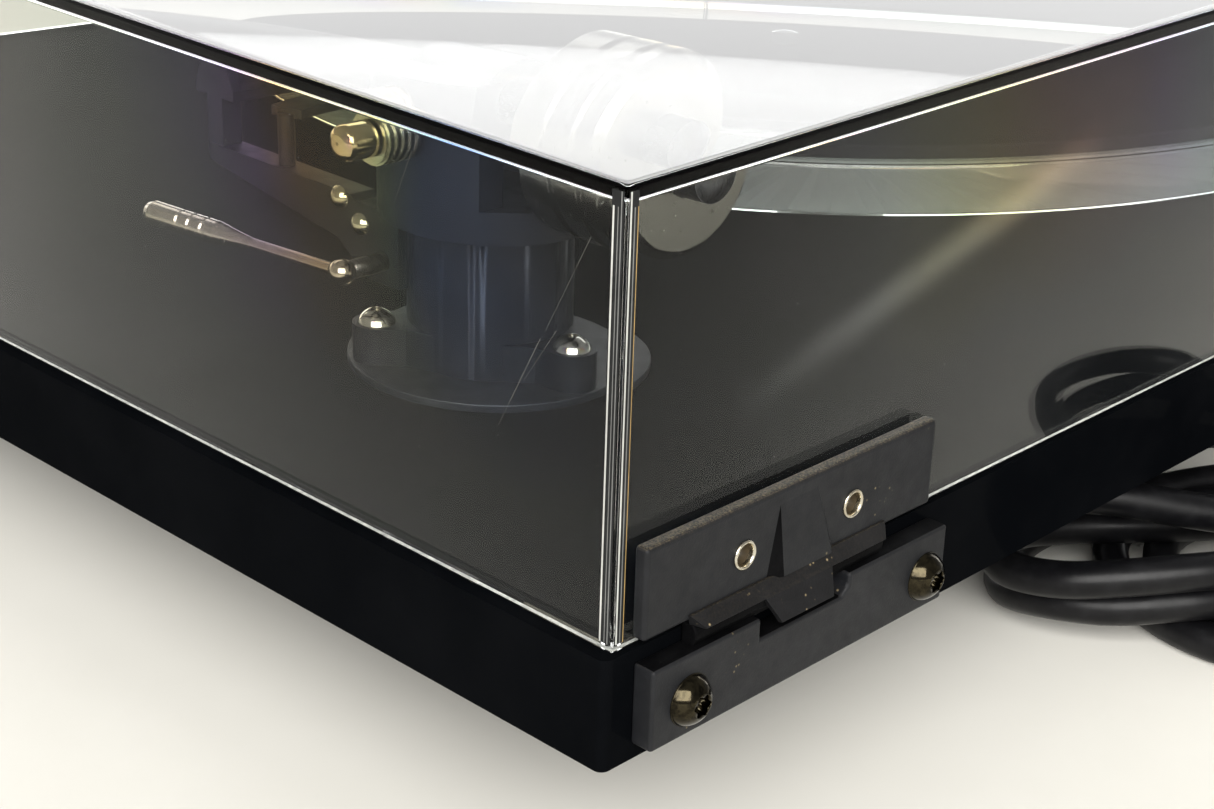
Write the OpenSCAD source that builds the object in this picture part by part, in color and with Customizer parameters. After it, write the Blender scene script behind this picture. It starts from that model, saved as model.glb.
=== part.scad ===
// Belt-drive turntable with a hinged clear cover, a glass platter and a straight tonearm.
// Millimetres. Origin: on the table, under the middle of the deck. +X right, +Y back, +Z up.

/* [Plinth] */
// Width of the board, left to right
plinth_w = 447; // [430:1:460]
// Depth of the board, front to back
plinth_d = 353.6; // [345:0.2:360]
// Thickness of the board
plinth_h = 18; // [16:0.5:20]
// Radius of the board's vertical corners
plinth_corner_r = 1.5; // [1:0.5:3]
// Height of the feet
foot_h = 31; // [30:0.5:34]
// Radius of a foot where it meets the board
foot_r = 22; // [20:0.5:24]

/* [Cover] */
// Height of the clear cover
cover_h = 67.6; // [66:0.2:72]
// Thickness of its walls
cover_wall = 3; // [2.5:0.5:3]
// Gap between the cover and the board
cover_gap = 0.75; // [0.5:0.05:1]
// Inset of the cover from the board's sides and front
cover_inset = 1.75; // [1.5:0.25:3]
// Inset of the cover from the board's rear face
cover_rear_inset = 0.45; // [0.4:0.05:0.6]

/* [Hinges] */
// Thickness of the lower leaf
leaf_t = 4; // [3.5:0.25:4]
// Height of the dome on the hinge screws
screw_dome = 2.4; // [2:0.1:3]
// Radius of the hinge screw heads
hinge_head_r = 4.1; // [3.5:0.1:4.5]

/* [Platter] */
// Radius of the glass platter
platter_r = 150; // [148:0.5:152]
// Thickness of the glass
glass_t = 12; // [10:0.5:12]
// Thickness of the felt mat
mat_t = 3; // [2:0.5:3]
// Radius of the centre pin
centre_pin_r = 3.575; // [3.5:0.005:3.6]
// Middle of the platter, left to right
platter_x = -46; // [-50:1:-42]
// Middle of the platter, front to back
platter_y = -8; // [-12:1:-4]

/* [Drive] */
// Radius at which the belt's middle runs on the sub-platter
sub_run_r = 50; // [49:0.5:51]
// Sub-platter turns to pulley turns
drive_ratio = 7.5; // [7:0.5:8]
// Radius of the belt's round section
belt_r = 1.5; // [1.25:0.25:1.5]
// Distance between the platter's and the motor's axes
drive_reach = 95; // [94:1:98]

/* [Arm] */
// Pivot of the arm, left to right
arm_x = 157; // [155:0.5:159]
// Pivot of the arm, front to back
arm_y = 82; // [80:0.5:84]
// Height of the arm's axis above the board
arm_rise = 47; // [46:0.5:48]
// Radius of the pillar
pillar_r = 15; // [14:0.5:15]
// Length of the arm from the pivot to the bend
tube_len = 200; // [198:1:201]
// Angle of the headshell to the arm
offset_deg = 23.6; // [22:0.1:24]
// Radius of the counterweight
weight_r = 16; // [14:0.5:16]
// Length of the counterweight
weight_len = 20; // [18:0.5:20]

/* [Signal lead] */
// Diameter of the lead
lead_d = 7; // [6.5:0.5:7]

/* [Hidden] */
$fn = 64;
eps = 0.05;
fit = 0.03;
belt_gap = 0.12;

// Heights above the table
board_top = foot_h + plinth_h;
total_d = plinth_d + leaf_t + screw_dome;
rear_y = total_d / 2 - leaf_t - screw_dome;
front_y = -total_d / 2;
cover_w = plinth_w - 2 * cover_inset;
cover_d = plinth_d - cover_inset - cover_rear_inset;
cover_y = (rear_y - cover_rear_inset + front_y + cover_inset) / 2;
cover_z = board_top + cover_gap;
feet_at = [[-170, -130], [170, -130], [-12, 128]];

// Platter stack
housing_flange = 2;
sub_z = board_top + housing_flange + 1;
sub_t = 7;
glass_z = sub_z + sub_t;
mat_z = glass_z + glass_t;
mat_top = mat_z + mat_t;
pin_top = mat_top + 10;
pin_clear = 0.3;
spindle_r = 5.5;
housing_r = 10;
ball_r = 2.5;
well_z = 24;
belt_z = sub_z + sub_t / 2;

// Motor
motor_angle = 135;
motor_x = platter_x + drive_reach * cos(motor_angle);
motor_y = platter_y + drive_reach * sin(motor_angle);
pulley_run_r = sub_run_r / drive_ratio;
belt_lean = asin((sub_run_r - pulley_run_r) / drive_reach);
belt_run = drive_reach * cos(belt_lean);
shaft_r = 1.2;

// Arm
arm_z = board_top + arm_rise;
spacer_t = 1.5;
flange_t = 7;
flange_top = board_top + spacer_t + flange_t;
lobe_r = 20.7;
lobe_angles = [-30, 90, 210];
pillar_top = board_top + 28.5;
yoke_r = 20;
cheek_in = 9.6;
cap_r = 3.25;
axle_r = 2;
arm_spindle_r = 3;
dial_x = 20.5;
dial_len = 7.6;
cap_right_x = 28.6;
weight_y = 22;
rear_shaft_r = 5;
cart_hole = [6.35, -30];
cart_screw_r = 1.25;
stylus_reach = 39.8;
record_t = 1.6;

// Lift
lever_z = board_top + 19;
lever_y = -11.7;
ball_x = 24.5;
plunger = [12.5, -41];
plunger_r = 1.6;
lift_ring_r = 39.5;
lift_ring_w = 6.5;
lift_ring_z = board_top + 38.7;
lift_ring_t = 1.9;
lift_ring_from = -145;
lift_ring_sweep = 72;
lever_out = 5.8;
lever_tilt = 90.9;
lever_ball_r = 2.7;
shaft_r_lift = 1.75;
shaft_start = 11.8;
bracket_x = [9.8, 15.2];
bracket_spots = [[-23, 77.2], [-17.5, 73.5]];

// Hinge, from the plinth's rear right bottom corner
leaf_x = [-73.4, -5.7];
leaf_z = [2.8, 15.9];
upper_x = [-70.8, -5.5];
upper_z = [19.8, 34.3];
upper_y = [-cover_rear_inset, 2.05];
knuckle = [2, 17.75];
knuckle_r = 1.4;
hinge_pin_r = 0.8;
strip_x = [-58.8, -14.6];
tongue_x = [-44.4, -29.2];
notch_x = [-48.8, -28.2];
notch_z = 12.5;
screw_spots = [[-13.5, 8.5], [-68.3, 8.5]];
eyelet_spots = [[-26.1, 26.4], [-50.7, 26.4]];
eyelet_r = 2;

// ---------- helpers ----------
module rounded(w, d, r) {
    square([w - 2 * r, d], center = true);
    square([w, d - 2 * r], center = true);
    for (sx = [-1, 1], sy = [-1, 1])
        translate([sx * (w / 2 - r), sy * (d / 2 - r)]) circle(r);
}

// A cylinder along X, Y or Z that starts at p
module along_x(p, len, r) translate(p) rotate([0, 90, 0]) cylinder(h = len, r = r);
module along_y(p, len, r) translate(p) rotate([-90, 0, 0]) cylinder(h = len, r = r);
module along_z(p, len, r) translate(p) cylinder(h = len, r = r);

// A box from its low corner to its high corner
module block(a, b) translate(a) cube(b - a);

// An outline in Y and Z, drawn out along X from xs[0] to xs[1]
module bar_x(xs, outline)
    translate([xs[0], 0, 0]) rotate([90, 0, 90]) linear_extrude(xs[1] - xs[0]) polygon(outline);

// The cap of a ball: a dome of radius r and height h on the plane z = 0
module dome(r, h) {
    ball = (r * r + h * h) / (2 * h);
    intersection() {
        translate([0, 0, h - ball]) sphere(ball);
        cylinder(h = h, r = r + eps);
    }
}

module at_platter() translate([platter_x, platter_y, 0]) children();
module at_motor() translate([motor_x, motor_y, 0]) children();
module at_arm() translate([arm_x, arm_y, 0]) children();
module at_hinge(side) {
    if (side > 0) translate([plinth_w / 2, rear_y, foot_h]) children();
    else mirror([1, 0, 0]) translate([plinth_w / 2, rear_y, foot_h]) children();
}

// ---------- plinth and feet ----------
module plinth() color("#0b0c0f") difference() {
    translate([0, (rear_y + front_y) / 2, foot_h]) linear_extrude(plinth_h)
        rounded(plinth_w, plinth_d, plinth_corner_r);
    at_platter() along_z([0, 0, foot_h - 1], plinth_h + 2, housing_r + fit);
    at_motor() along_z([0, 0, foot_h - 1], plinth_h + 2, 11);
    at_motor() for (s = [-1, 1]) along_z([s * 33, 0, foot_h - 1], 13, 1.53);
    at_arm() along_z([0, 0, foot_h - 1], plinth_h + 2, 8);
    at_arm() for (a = lobe_angles) rotate(a) along_z([lobe_r, 0, 38], 20, 1.63);
    for (p = feet_at) along_z([p[0], p[1], foot_h - 1], 13.5, 2.03);
    for (side = [-1, 1]) at_hinge(side) for (s = screw_spots)
        along_y([s[0], -14.5, s[1]], 20, 1.93);
}

module foot(p) color("#1a1a1c") translate([p[0], p[1], 0]) difference() {
    rotate_extrude() polygon([[0, 0], [16.5, 0], [17.5, 1], [18.2, 5], [17.4, 6], [17.6, 7.5], [18.6, 8],
        [foot_r, foot_h - 4], [foot_r, foot_h], [0, foot_h]]);
    along_z([0, 0, -1], 13, 6);
    along_z([0, 0, 0], foot_h + 1, 2.3);
}

module foot_screws() color("#8d8f93") for (p = feet_at) translate([p[0], p[1], 0]) {
    translate([0, 0, 12]) mirror([0, 0, 1]) dome(4.4, 2.6);
    along_z([0, 0, 11.9], foot_h, 2);
}

// ---------- hinges ----------
module hinge_lower() color("#141416") difference() {
    union() {
        block([leaf_x[0], 0, leaf_z[0]], [leaf_x[1], leaf_t, leaf_z[1]]);
        for (x = [strip_x[0] + 1.5, strip_x[1] - 5.5]) {
            along_x([x, knuckle[0], knuckle[1]], 4, knuckle_r);
            block([x, knuckle[0] - knuckle_r, leaf_z[1] - 1], [x + 4, knuckle[0] + knuckle_r, knuckle[1]]);
        }
    }
    block([notch_x[0], -1, notch_z], [notch_x[1], leaf_t + 1, leaf_z[1] + 1]);
    along_x([leaf_x[0], knuckle[0], knuckle[1]], 70, hinge_pin_r + 0.02);
    for (s = screw_spots) along_y([s[0], -1, s[1]], leaf_t + 2, 2.1);
}

module hinge_upper() color("#141416") difference() {
    union() {
        block([upper_x[0], upper_y[0], upper_z[0]], [upper_x[1], upper_y[1], upper_z[1]]);
        // Shroud strip in front of the knuckles, and the ramp that stiffens it
        bar_x(strip_x, [[1.9, 20.8], [3, 20.8], [4, 18.8], [3.45, 18.7], [2.6, 19.9], [1.9, 19.9]]);
        bar_x([tongue_x[0] + 0.5, tongue_x[1] - 3], [[1.9, 32.6], [2.1, 32.6], [3, 20.7], [1.9, 20.7]]);
        // Tongue that stops the cover
        bar_x(tongue_x, [[3, 20], [4, 18.8], [5.8, 15], [5, 14.7], [3.3, 18.4], [2.8, 19.8]]);
        // Knuckle between the lower leaf's ears
        along_x([strip_x[0] + 5.8, knuckle[0], knuckle[1]], strip_x[1] - strip_x[0] - 11.6, knuckle_r);
        bar_x([strip_x[0] + 5.8, strip_x[1] - 5.8], [[0.7, 20], [3.3, 20], [3.3, 18], [0.7, 17.9]]);
    }
    along_x([leaf_x[0], knuckle[0], knuckle[1]], 70, hinge_pin_r + 0.06);
    for (s = eyelet_spots) along_y([s[0], -2, s[1]], 6, eyelet_r + fit);
}

module hinge_lower_right() at_hinge(1) hinge_lower();
module hinge_lower_left() at_hinge(-1) hinge_lower();
module hinge_upper_right() at_hinge(1) hinge_upper();
module hinge_upper_left() at_hinge(-1) hinge_upper();

module hinge_pins() color("#9a9ca0") for (side = [-1, 1]) at_hinge(side)
    along_x([strip_x[0] + 1, knuckle[0], knuckle[1]], strip_x[1] - strip_x[0] - 2, hinge_pin_r);

module hinge_screws() color("#4a4236") for (side = [-1, 1]) at_hinge(side) for (s = screw_spots)
    translate([s[0], leaf_t, s[1]]) rotate([-90, 0, 0]) difference() {
        union() {
            dome(hinge_head_r, screw_dome);
            along_z([0, 0, -17], 17.1, 1.9);
        }
        along_z([0, 0, screw_dome - 1.3], 2, 1.5);
    }

// ---------- cover ----------
module cover() color("#b9c0c4", 0.3) difference() {
    translate([0, cover_y, cover_z]) linear_extrude(cover_h) rounded(cover_w, cover_d, 1.5);
    translate([0, cover_y, cover_z - 1]) linear_extrude(cover_h - cover_wall + 1)
        rounded(cover_w - 2 * cover_wall, cover_d - 2 * cover_wall, 0.6);
    for (side = [-1, 1]) at_hinge(side) for (s = eyelet_spots)
        along_y([s[0], -cover_wall - 2, s[1]], cover_wall + 4, eyelet_r + fit);
}

module cover_eyelets() color("#c9c3b4") for (side = [-1, 1]) at_hinge(side) for (s = eyelet_spots)
    translate([s[0], -cover_rear_inset - cover_wall, s[1]]) difference() {
        union() {
            along_y([0, -0.4, 0], cover_wall + upper_y[1] + cover_rear_inset + 0.8, eyelet_r);
            along_y([0, -0.4, 0], 0.4, 2.5);
            along_y([0, cover_wall + upper_y[1] + cover_rear_inset, 0], 0.4, 2.5);
        }
        along_y([0, -2, 0], 12, 1.5);
    }

// ---------- bearing, platter and drive ----------
module bearing_housing() color("#b08d4a") at_platter() difference() {
    union() {
        along_z([0, 0, 20], board_top - 20, housing_r);
        along_z([0, 0, board_top], housing_flange, 16);
    }
    along_z([0, 0, well_z], 40, spindle_r + eps);
}

module bearing_nut() color("#8d8f93") at_platter() difference() {
    cylinder_at = foot_h - 4;
    translate([0, 0, cylinder_at]) cylinder(h = 4, r = 15, $fn = 6);
    along_z([0, 0, cylinder_at - 1], 6, housing_r + fit);
}

module bearing_ball() color("#c8cacc") at_platter() translate([0, 0, well_z + ball_r]) sphere(ball_r - 0.01);

module spindle() color("#c8cacc") at_platter() {
    along_z([0, 0, well_z + 2 * ball_r + 0.02], sub_z + 3.98 - well_z - 2 * ball_r, spindle_r);
    along_z([0, 0, sub_z + 3.9], mat_top + pin_clear - sub_z - 3.9, centre_pin_r - pin_clear);
    along_z([0, 0, mat_top + pin_clear], pin_top - 2 - mat_top - pin_clear, centre_pin_r);
    translate([0, 0, pin_top - 2]) dome(centre_pin_r, 2);
}

module sub_platter() color("#2a2b2e") at_platter() rotate_extrude() polygon([
    [spindle_r + fit, sub_z], [sub_run_r + 0.8, sub_z], [sub_run_r + 0.8, belt_z - 2],
    [sub_run_r - belt_r - belt_gap, belt_z - 1.3], [sub_run_r - belt_r - belt_gap, belt_z + 1.3],
    [sub_run_r + 0.8, belt_z + 2], [sub_run_r + 0.8, glass_z], [housing_r, glass_z],
    [housing_r, glass_z + 8], [centre_pin_r + fit, glass_z + 8], [centre_pin_r + fit, sub_z + 4.03],
    [spindle_r + fit, sub_z + 4.03]]);

module glass_platter() color("#9fb4b0", 0.6) at_platter() rotate_extrude() polygon([
    [housing_r + eps, glass_z], [platter_r - 0.8, glass_z], [platter_r, glass_z + 0.8],
    [platter_r, mat_z - 0.8], [platter_r - 0.8, mat_z], [housing_r + eps, mat_z]]);

module platter_mat() color("#17171a") at_platter() difference() {
    along_z([0, 0, mat_z], mat_t, platter_r - 3);
    along_z([0, 0, mat_z - 1], mat_t + 2, centre_pin_r + 0.15);
}

// The belt: two arcs of a round ring and the two straight runs between them
module drive_belt() color("#1b1b1d") at_platter() rotate(motor_angle) translate([0, 0, belt_z]) {
    rotate(90 - belt_lean) rotate_extrude(angle = 180 + 2 * belt_lean) translate([sub_run_r, 0])
        circle(belt_r);
    translate([drive_reach, 0, 0]) rotate(belt_lean - 90) rotate_extrude(angle = 180 - 2 * belt_lean)
        translate([pulley_run_r, 0]) circle(belt_r);
    for (s = [-1, 1])
        rotate(s * (90 - belt_lean)) translate([sub_run_r, 0, 0]) rotate([s * 90, 0, 0])
            cylinder(h = belt_run, r = belt_r);
}

module motor_body() color("#3a3c40") at_motor() difference() {
    union() {
        along_z([0, 0, 9.5], 20, 28);
        along_z([0, 0, 29.5], 4, 5);
    }
    along_z([0, 0, 12], 30, shaft_r + eps);
}

module motor_plate() color("#7c8085") at_motor() difference() {
    translate([0, 0, foot_h - 1.5]) linear_extrude(1.5) rounded(76, 30, 6);
    along_z([0, 0, foot_h - 3], 5, 5 + eps);
    for (s = [-1, 1]) along_z([s * 33, 0, foot_h - 3], 5, 1.6);
}

module motor_screws() color("#b9bbbf") at_motor() for (s = [-1, 1]) translate([s * 33, 0, foot_h - 1.5]) {
    mirror([0, 0, 1]) dome(2.8, 1.8);
    along_z([0, 0, -0.1], 12, 1.5);
}

module motor_shaft() color("#c8cacc") at_motor() along_z([0, 0, 13], board_top + 9 - 13, shaft_r);

module motor_pulley() color("#a9abad") at_motor() translate([0, 0, belt_z]) rotate_extrude() polygon([
    [shaft_r + fit, -5.9], [10, -5.9], [10, -5.3], [7.6, -4.6], [7.6, -3.6], [10, -2.9], [7.6, -2.3],
    [pulley_run_r - belt_r - belt_gap, -1.3], [pulley_run_r - belt_r - belt_gap, 1.3], [7.6, 2], [7.6, 2.8],
    [shaft_r + fit, 2.8]]);

module belly_cover() color("#1c1d20") difference() {
    translate([-97, 65, 6]) linear_extrude(foot_h - 6) rounded(114, 84, 5);
    translate([-97, 65, 8]) linear_extrude(foot_h) rounded(110, 80, 3);
    block([-66.7, 100, 14.4], [-57.3, 112, 26.1]);
}

module circuit_board() color("#1f4d33") difference() {
    union() {
        block([-79, 34, 12.4], [-47, 95.5, 14]);
        block([-74, 40, 14], [-64, 54, 22]);
        along_z([-56, 46, 14], 11, 4);
        along_z([-56, 58, 14], 11, 4);
        block([-76, 62, 14], [-68, 82, 16]);
    }
    for (x = [-76, -50], y = [37, 92.5]) along_z([x, y, 10], 6, 1.3);
}

module power_socket() color("#111113") difference() {
    union() {
        block([-66.5, 92, 14.5], [-57.5, 107.6, 26]);
        along_y([-62, 107.5, 20.3], 0.8, 4.2);
    }
    along_y([-62, 98, 20.3], 12, 3.1);
}

// ---------- power switch, under the front left edge ----------
switch_at = [-108, -160];
rocker_z = foot_h - 5;

module switch_housing() color("#151517") translate([switch_at[0], switch_at[1], 0]) difference() {
    translate([0, 0, rocker_z - 3]) linear_extrude(8) rounded(25, 17, 1.5);
    block([-10.6, -5.6, rocker_z - 5], [10.6, 5.6, rocker_z + 4]);
    along_y([0, -8, rocker_z], 16, 1.25);
}

module switch_rocker() color("#232326") translate([switch_at[0], switch_at[1], rocker_z])
    rotate([0, 6, 0]) {
        translate([0, 5.3, 0]) rotate([90, 0, 0]) linear_extrude(10.6)
            polygon([[-10, -3.2], [0, -4.3], [10, -3.2], [9.4, 0.6], [-9.4, 0.6]]);
        along_y([0, -7.4, 0], 14.8, 1.2);
    }

// ---------- arm: fixed parts ----------
module arm_spacer() color("#232427") at_arm() difference() {
    along_z([0, 0, board_top], spacer_t, 25.75);
    along_z([0, 0, board_top - 1], 5, 8);
    for (a = lobe_angles) rotate(a) along_z([lobe_r, 0, board_top - 1], 5, 1.8);
}

module arm_base() color("#18191c") at_arm() difference() {
    union() {
        along_z([0, 0, board_top + spacer_t], pillar_top - board_top - spacer_t, pillar_r);
        along_z([0, 0, 22], board_top, 7.9);
        for (a = lobe_angles) rotate(a) translate([0, 0, board_top + spacer_t]) linear_extrude(flange_t) {
            translate([lobe_r, 0]) circle(4.4);
            polygon([[9, -11.5], [16.5, -5], [lobe_r, -4.4], [lobe_r, 4.4], [16.5, 5], [9, 11.5]]);
        }
    }
    along_z([0, 0, 20], 80, 6.5);
    for (a = lobe_angles) rotate(a) along_z([lobe_r, 0, board_top], 20, 1.8);
}

module arm_base_screws() color("#c4c6c9") at_arm() for (a = lobe_angles) rotate(a)
    translate([lobe_r, 0, flange_top]) difference() {
        union() {
            dome(3.5, 2.6);
            along_z([0, 0, -18.5], 18.6, 1.6);
        }
        along_z([0, 0, 1.4], 2, 1.1);
    }

module arm_nut() color("#8d8f93") at_arm() difference() {
    translate([0, 0, foot_h - 5]) cylinder(h = 5, r = 13, $fn = 6);
    along_z([0, 0, foot_h - 6], 8, 7.9 + fit);
}

module arm_bearings() color("#c8cacc") at_arm() for (z = [board_top + 3, pillar_top - 6.5]) difference() {
    along_z([0, 0, z], 5, 6.5 - fit);
    along_z([0, 0, z - 1], 7, arm_spindle_r + eps);
}

// Bracket on the front of the pillar: holds the lift's shaft and plunger, and the arm's rest
module lift_bracket() color("#17181b") at_arm() difference() {
    union() {
        bar_x(bracket_x, [[-60.5, 78.6], [-60.5, 75.2], [-24, 69.4], [-16, 63.6], [-7.5, 63.6],
            [-7.5, pillar_top], [-18.8, pillar_top], [-20, 78.6]]);
        along_x([9.8, lever_y, lever_z], 5.4, 3.6);
        bar_x([10.5, 14.9], [[-61.3, 75.2], [-56.9, 75.2], [-56.9, 88.6], [-61.3, 88.6]]);
        bar_x([-8, 14.9], [[-64.6, 88], [-53.5, 88], [-53.5, 90], [-64.6, 90]]);
        bar_x([12.6, 14.9], [[-64.6, 89.9], [-53.5, 89.9], [-55.5, 95], [-62.6, 95]]);
    }
    along_z([plunger[0], plunger[1], 70], 12, plunger_r + 0.05);
    along_x([8, lever_y, lever_z], 10, shaft_r_lift + 0.05);
    along_z([0, 0, 60], 30, pillar_r + eps);
    for (s = bracket_spots) along_x([8, s[0], s[1]], 12, 1.2);
}

module bracket_screws() color("#c4c6c9") at_arm() for (s = bracket_spots) {
    translate([bracket_x[1], s[0], s[1]]) rotate([0, 90, 0]) dome(2.3, 1.6);
    along_x([10.2, s[0], s[1]], 5.1, 1.17);
}

// ---------- lift: the plunger with its curved platform, the shaft and the lever ----------
module lift_platform() color("#1a1b1e") at_arm() {
    along_z([plunger[0], plunger[1], 72.5], 16, plunger_r);
    translate([0, 0, lift_ring_z]) rotate(lift_ring_from) rotate_extrude(angle = lift_ring_sweep)
        translate([lift_ring_r, 0]) square([lift_ring_w, lift_ring_t]);
}

module lever_shaft() color("#3c3e42") at_arm() {
    along_x([shaft_start, lever_y, lever_z], ball_x - shaft_start, shaft_r_lift);
    translate([ball_x, lever_y, lever_z]) sphere(lever_ball_r);
}

// The lever points forward and a little outward
module lift_lever() color("#8a8378") at_arm() translate([ball_x, lever_y, lever_z])
    rotate([0, 0, lever_out]) rotate([lever_tilt, 0, 0]) rotate_extrude() polygon([
        [0, 2.71], [0.6, 2.65], [1.1, 2.49], [1.05, 22], [1.5, 26], [2.3, 31], [2.35, 33.5], [2.1, 33.8],
        [2.35, 34.1], [2.35, 36.9], [2.1, 37.2], [2.35, 37.5], [2.35, 40], [2.1, 40.3], [2.35, 40.6],
        [2.45, 48], [2, 49.2], [0, 49.6]]);

// ---------- arm: yoke that swings on the pillar ----------
module arm_yoke() color("#17181b") at_arm() difference() {
    union() {
        along_z([0, 0, pillar_top + 0.3], 6, yoke_r);
        intersection() {
            along_z([0, 0, pillar_top + 3], arm_z + 6.5 - pillar_top - 3, yoke_r);
            for (s = [-1, 1]) translate([s * (cheek_in + 6), 0, arm_z - 5])
                cube([12, 26, 23], center = true);
        }
        along_x([16, 0, arm_z], 12.2, 2.5);
    }
    along_x([-30, 0, arm_z], 60, axle_r + fit);
    along_z([0, 0, 70], 12, arm_spindle_r + fit);
}

module arm_spindle() color("#c8cacc") at_arm() along_z([0, 0, board_top + 2.5], 30, arm_spindle_r);

module pivot_axle() color("#c8cacc") at_arm() along_x([-dial_x, 0, arm_z], 49, axle_r);

// A round cap of length len with a crowned end, along X from x, facing the way that side says
module crowned_cap(x, len, side) translate([x, 0, arm_z]) rotate([0, side * 90, 0]) rotate_extrude()
    polygon([[0, 0], [cap_r, 0], [cap_r, len], [cap_r - 0.4, len + 0.9], [cap_r - 1.3, len + 1.5],
        [0, len + 1.8]]);

module pivot_caps() color("#cfd1d3") at_arm() {
    crowned_cap(cap_right_x, 4.6, 1);
    crowned_cap(-dial_x - 0.1, 1.8, -1);
}

// Ribbed dial that sets the side force
module bias_dial() color("#6d675c") at_arm() translate([dial_x, 0, arm_z]) rotate([0, 90, 0]) difference() {
    union() {
        cylinder(h = dial_len, r = 4.5);
        for (z = [0.3 : 1.5 : 7]) translate([0, 0, z]) cylinder(h = 0.7, r = 4.9);
    }
    translate([0, 0, -1]) cylinder(h = 10, r = 2.5 + eps);
}

// ---------- arm: parts that tilt with the tube ----------
module arm_tube() color("#1b1c1f") at_arm() translate([0, 0, arm_z]) difference() {
    union() {
        along_y([0, -13, 0], 21, 8.8);
        translate([0, -12.9, 0]) rotate([90, 0, 0]) cylinder(h = tube_len - 12.9, r1 = 6, r2 = 4.6);
    }
    along_x([-20, 0, 0], 40, axle_r + eps);
}

module in_headshell() translate([0, -tube_len, arm_z]) rotate([0, 0, -offset_deg]) children();

module headshell() color("#1b1c1f") at_arm() difference() {
    union() {
        translate([0, -tube_len - 3, arm_z]) rotate([-90, 0, 0]) cylinder(h = 14, r = 5.6);
        in_headshell() {
            translate([0, -22, -3.4]) linear_extrude(3.2) difference() {
                polygon([[-4.6, 20], [4.6, 20], [9.2, 8], [9.2, -24], [7, -26], [-7, -26], [-9.2, -24],
                    [-9.2, 8]]);
                for (s = [-1, 1]) translate([s * cart_hole[0], cart_hole[1] + 22])
                    circle(cart_screw_r + eps);
            }
            translate([-1.5, -20, -0.3]) cube([3, 20, 1.6]);
        }
    }
    translate([0, -tube_len - 0.5, arm_z]) rotate([-90, 0, 0]) cylinder(h = 14, r1 = 4.65, r2 = 4.72);
}

module finger_lift() color("#1b1c1f") at_arm() in_headshell() {
    bar_x([9.2, 20], [[-36, -2.6], [-31, -2.6], [-31, -1.4], [-36, -1.4]]);
}

module cartridge_body() color("#202124") at_arm() in_headshell() difference() {
    union() {
        block([-8, -43, -14.5], [8, -17, -3.4]);
        block([-6.5, -41, -17.4], [6.5, -22, -14.4]);
    }
    for (s = [-1, 1]) along_z([s * cart_hole[0], cart_hole[1], -9], 6, cart_screw_r + 0.03);
}

module stylus_unit() color("#b3201f") at_arm() in_headshell() {
    block([-4, -42.5, -19], [4, -28, -17.4]);
    translate([0, -33, -18.6]) rotate([100, 0, 0]) cylinder(h = 7, r = 0.35);
    tip_z = mat_top + record_t - arm_z;
    translate([0, -stylus_reach, tip_z]) cylinder(h = -19 - tip_z + 0.6, r1 = 0.15, r2 = 0.5);
}

module cartridge_screws() color("#c4c6c9") at_arm() in_headshell() for (s = [-1, 1])
    translate([s * cart_hole[0], cart_hole[1], 0]) {
        along_z([0, 0, -8.6], 8.5, cart_screw_r);
        along_z([0, 0, -0.2], 1.6, 2.2);
    }

module rear_shaft() color("#3a3c40") at_arm() translate([0, 8, arm_z]) rotate([-90, 0, 0]) {
    cylinder(h = 39.5, r = rear_shaft_r);
    translate([0, 0, 39.4]) dome(rear_shaft_r, 1.6);
}

module counterweight() color("#c2c4c6") at_arm() translate([0, weight_y, arm_z]) rotate([-90, 0, 0])
    rotate_extrude() polygon([
        [rear_shaft_r + eps, 0], [weight_r - 1, 0], [weight_r, 1], [weight_r, 7.4], [weight_r - 0.7, 7.9],
        [weight_r - 0.7, 8.6], [weight_r, 9.1], [weight_r, 13.8], [weight_r - 0.7, 14.3],
        [weight_r - 0.7, 15.2], [weight_r, 15.7], [weight_r, weight_len - 1.6],
        [weight_r - 1.6, weight_len], [rear_shaft_r + eps, weight_len]]);

// ---------- signal lead ----------
lead_r = lead_d / 2;
// The lead's middle line: out of its strain relief, then four loose turns on the table
lead_points = [[98, 148, 24], [87, 157, 24], [77, 166, 23], [67, 175, 20.5], [57, 183, 18.5],
    [46, 190, 17.5], [34, 196, 17.5], [21, 201, 17.5], [8, 207, 17.5], [1, 219, 17.5], [6, 232, 17.5],
    [18, 238, 17.5], [31, 236, 17.5], [43, 227, 17.5], [53, 215, 17.5], [63, 203, 17.5],
    [73, 193, 17.5], [83, 186, 17.5], [92, 178, 16.5], [98, 168.5, 14.5], [98.5, 158, 12.5],
    [93, 150, 11.5], [83, 147.5, 11], [73, 152, 10.5], [62, 161, 10.5], [51, 170, 10.5],
    [39, 178, 10.5], [26, 184, 10.5], [12, 188, 10.5], [1, 196, 10.5], [-5, 208, 10.5],
    [-2, 222, 10.5], [10, 231, 10.5], [25, 232, 10.5], [38, 225, 10.5], [50, 213, 10.5],
    [61, 201, 10.5], [73, 191, 10.5], [83, 184, 10.5], [91, 175, 9], [95, 164, 7.5], [92, 153, 4.5],
    [83, 146, 3.5], [72, 143, 3.5], [60, 143, 3.5], [46, 145, 3.5], [31, 149, 3.5], [16, 156, 3.5],
    [4, 168, 3.5], [-1, 184, 3.5], [1, 202, 3.5], [10, 217, 3.5], [25, 226, 3.5], [43, 226, 3.5],
    [60, 218, 3.5], [73, 205, 3.5], [80, 190, 3.5], [77, 173, 3.5], [67, 160, 3.5], [53, 153, 3.5],
    [38, 155, 3.5], [24, 161, 3.5], [13, 171, 3.5], [8, 186, 3.5], [11, 202, 3.5], [22, 214, 3.5],
    [37, 217, 3.5], [53, 211, 3.5], [66, 199, 3.5], [71, 184, 3.5], [64, 170, 3.5], [50, 162, 4],
    [35, 165, 6], [21, 170, 10.5], [8, 174, 10.5], [-5, 178, 10.5], [-17, 182, 6], [-29, 186, 3.5],
    [-40, 190, 3.5]];
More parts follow.
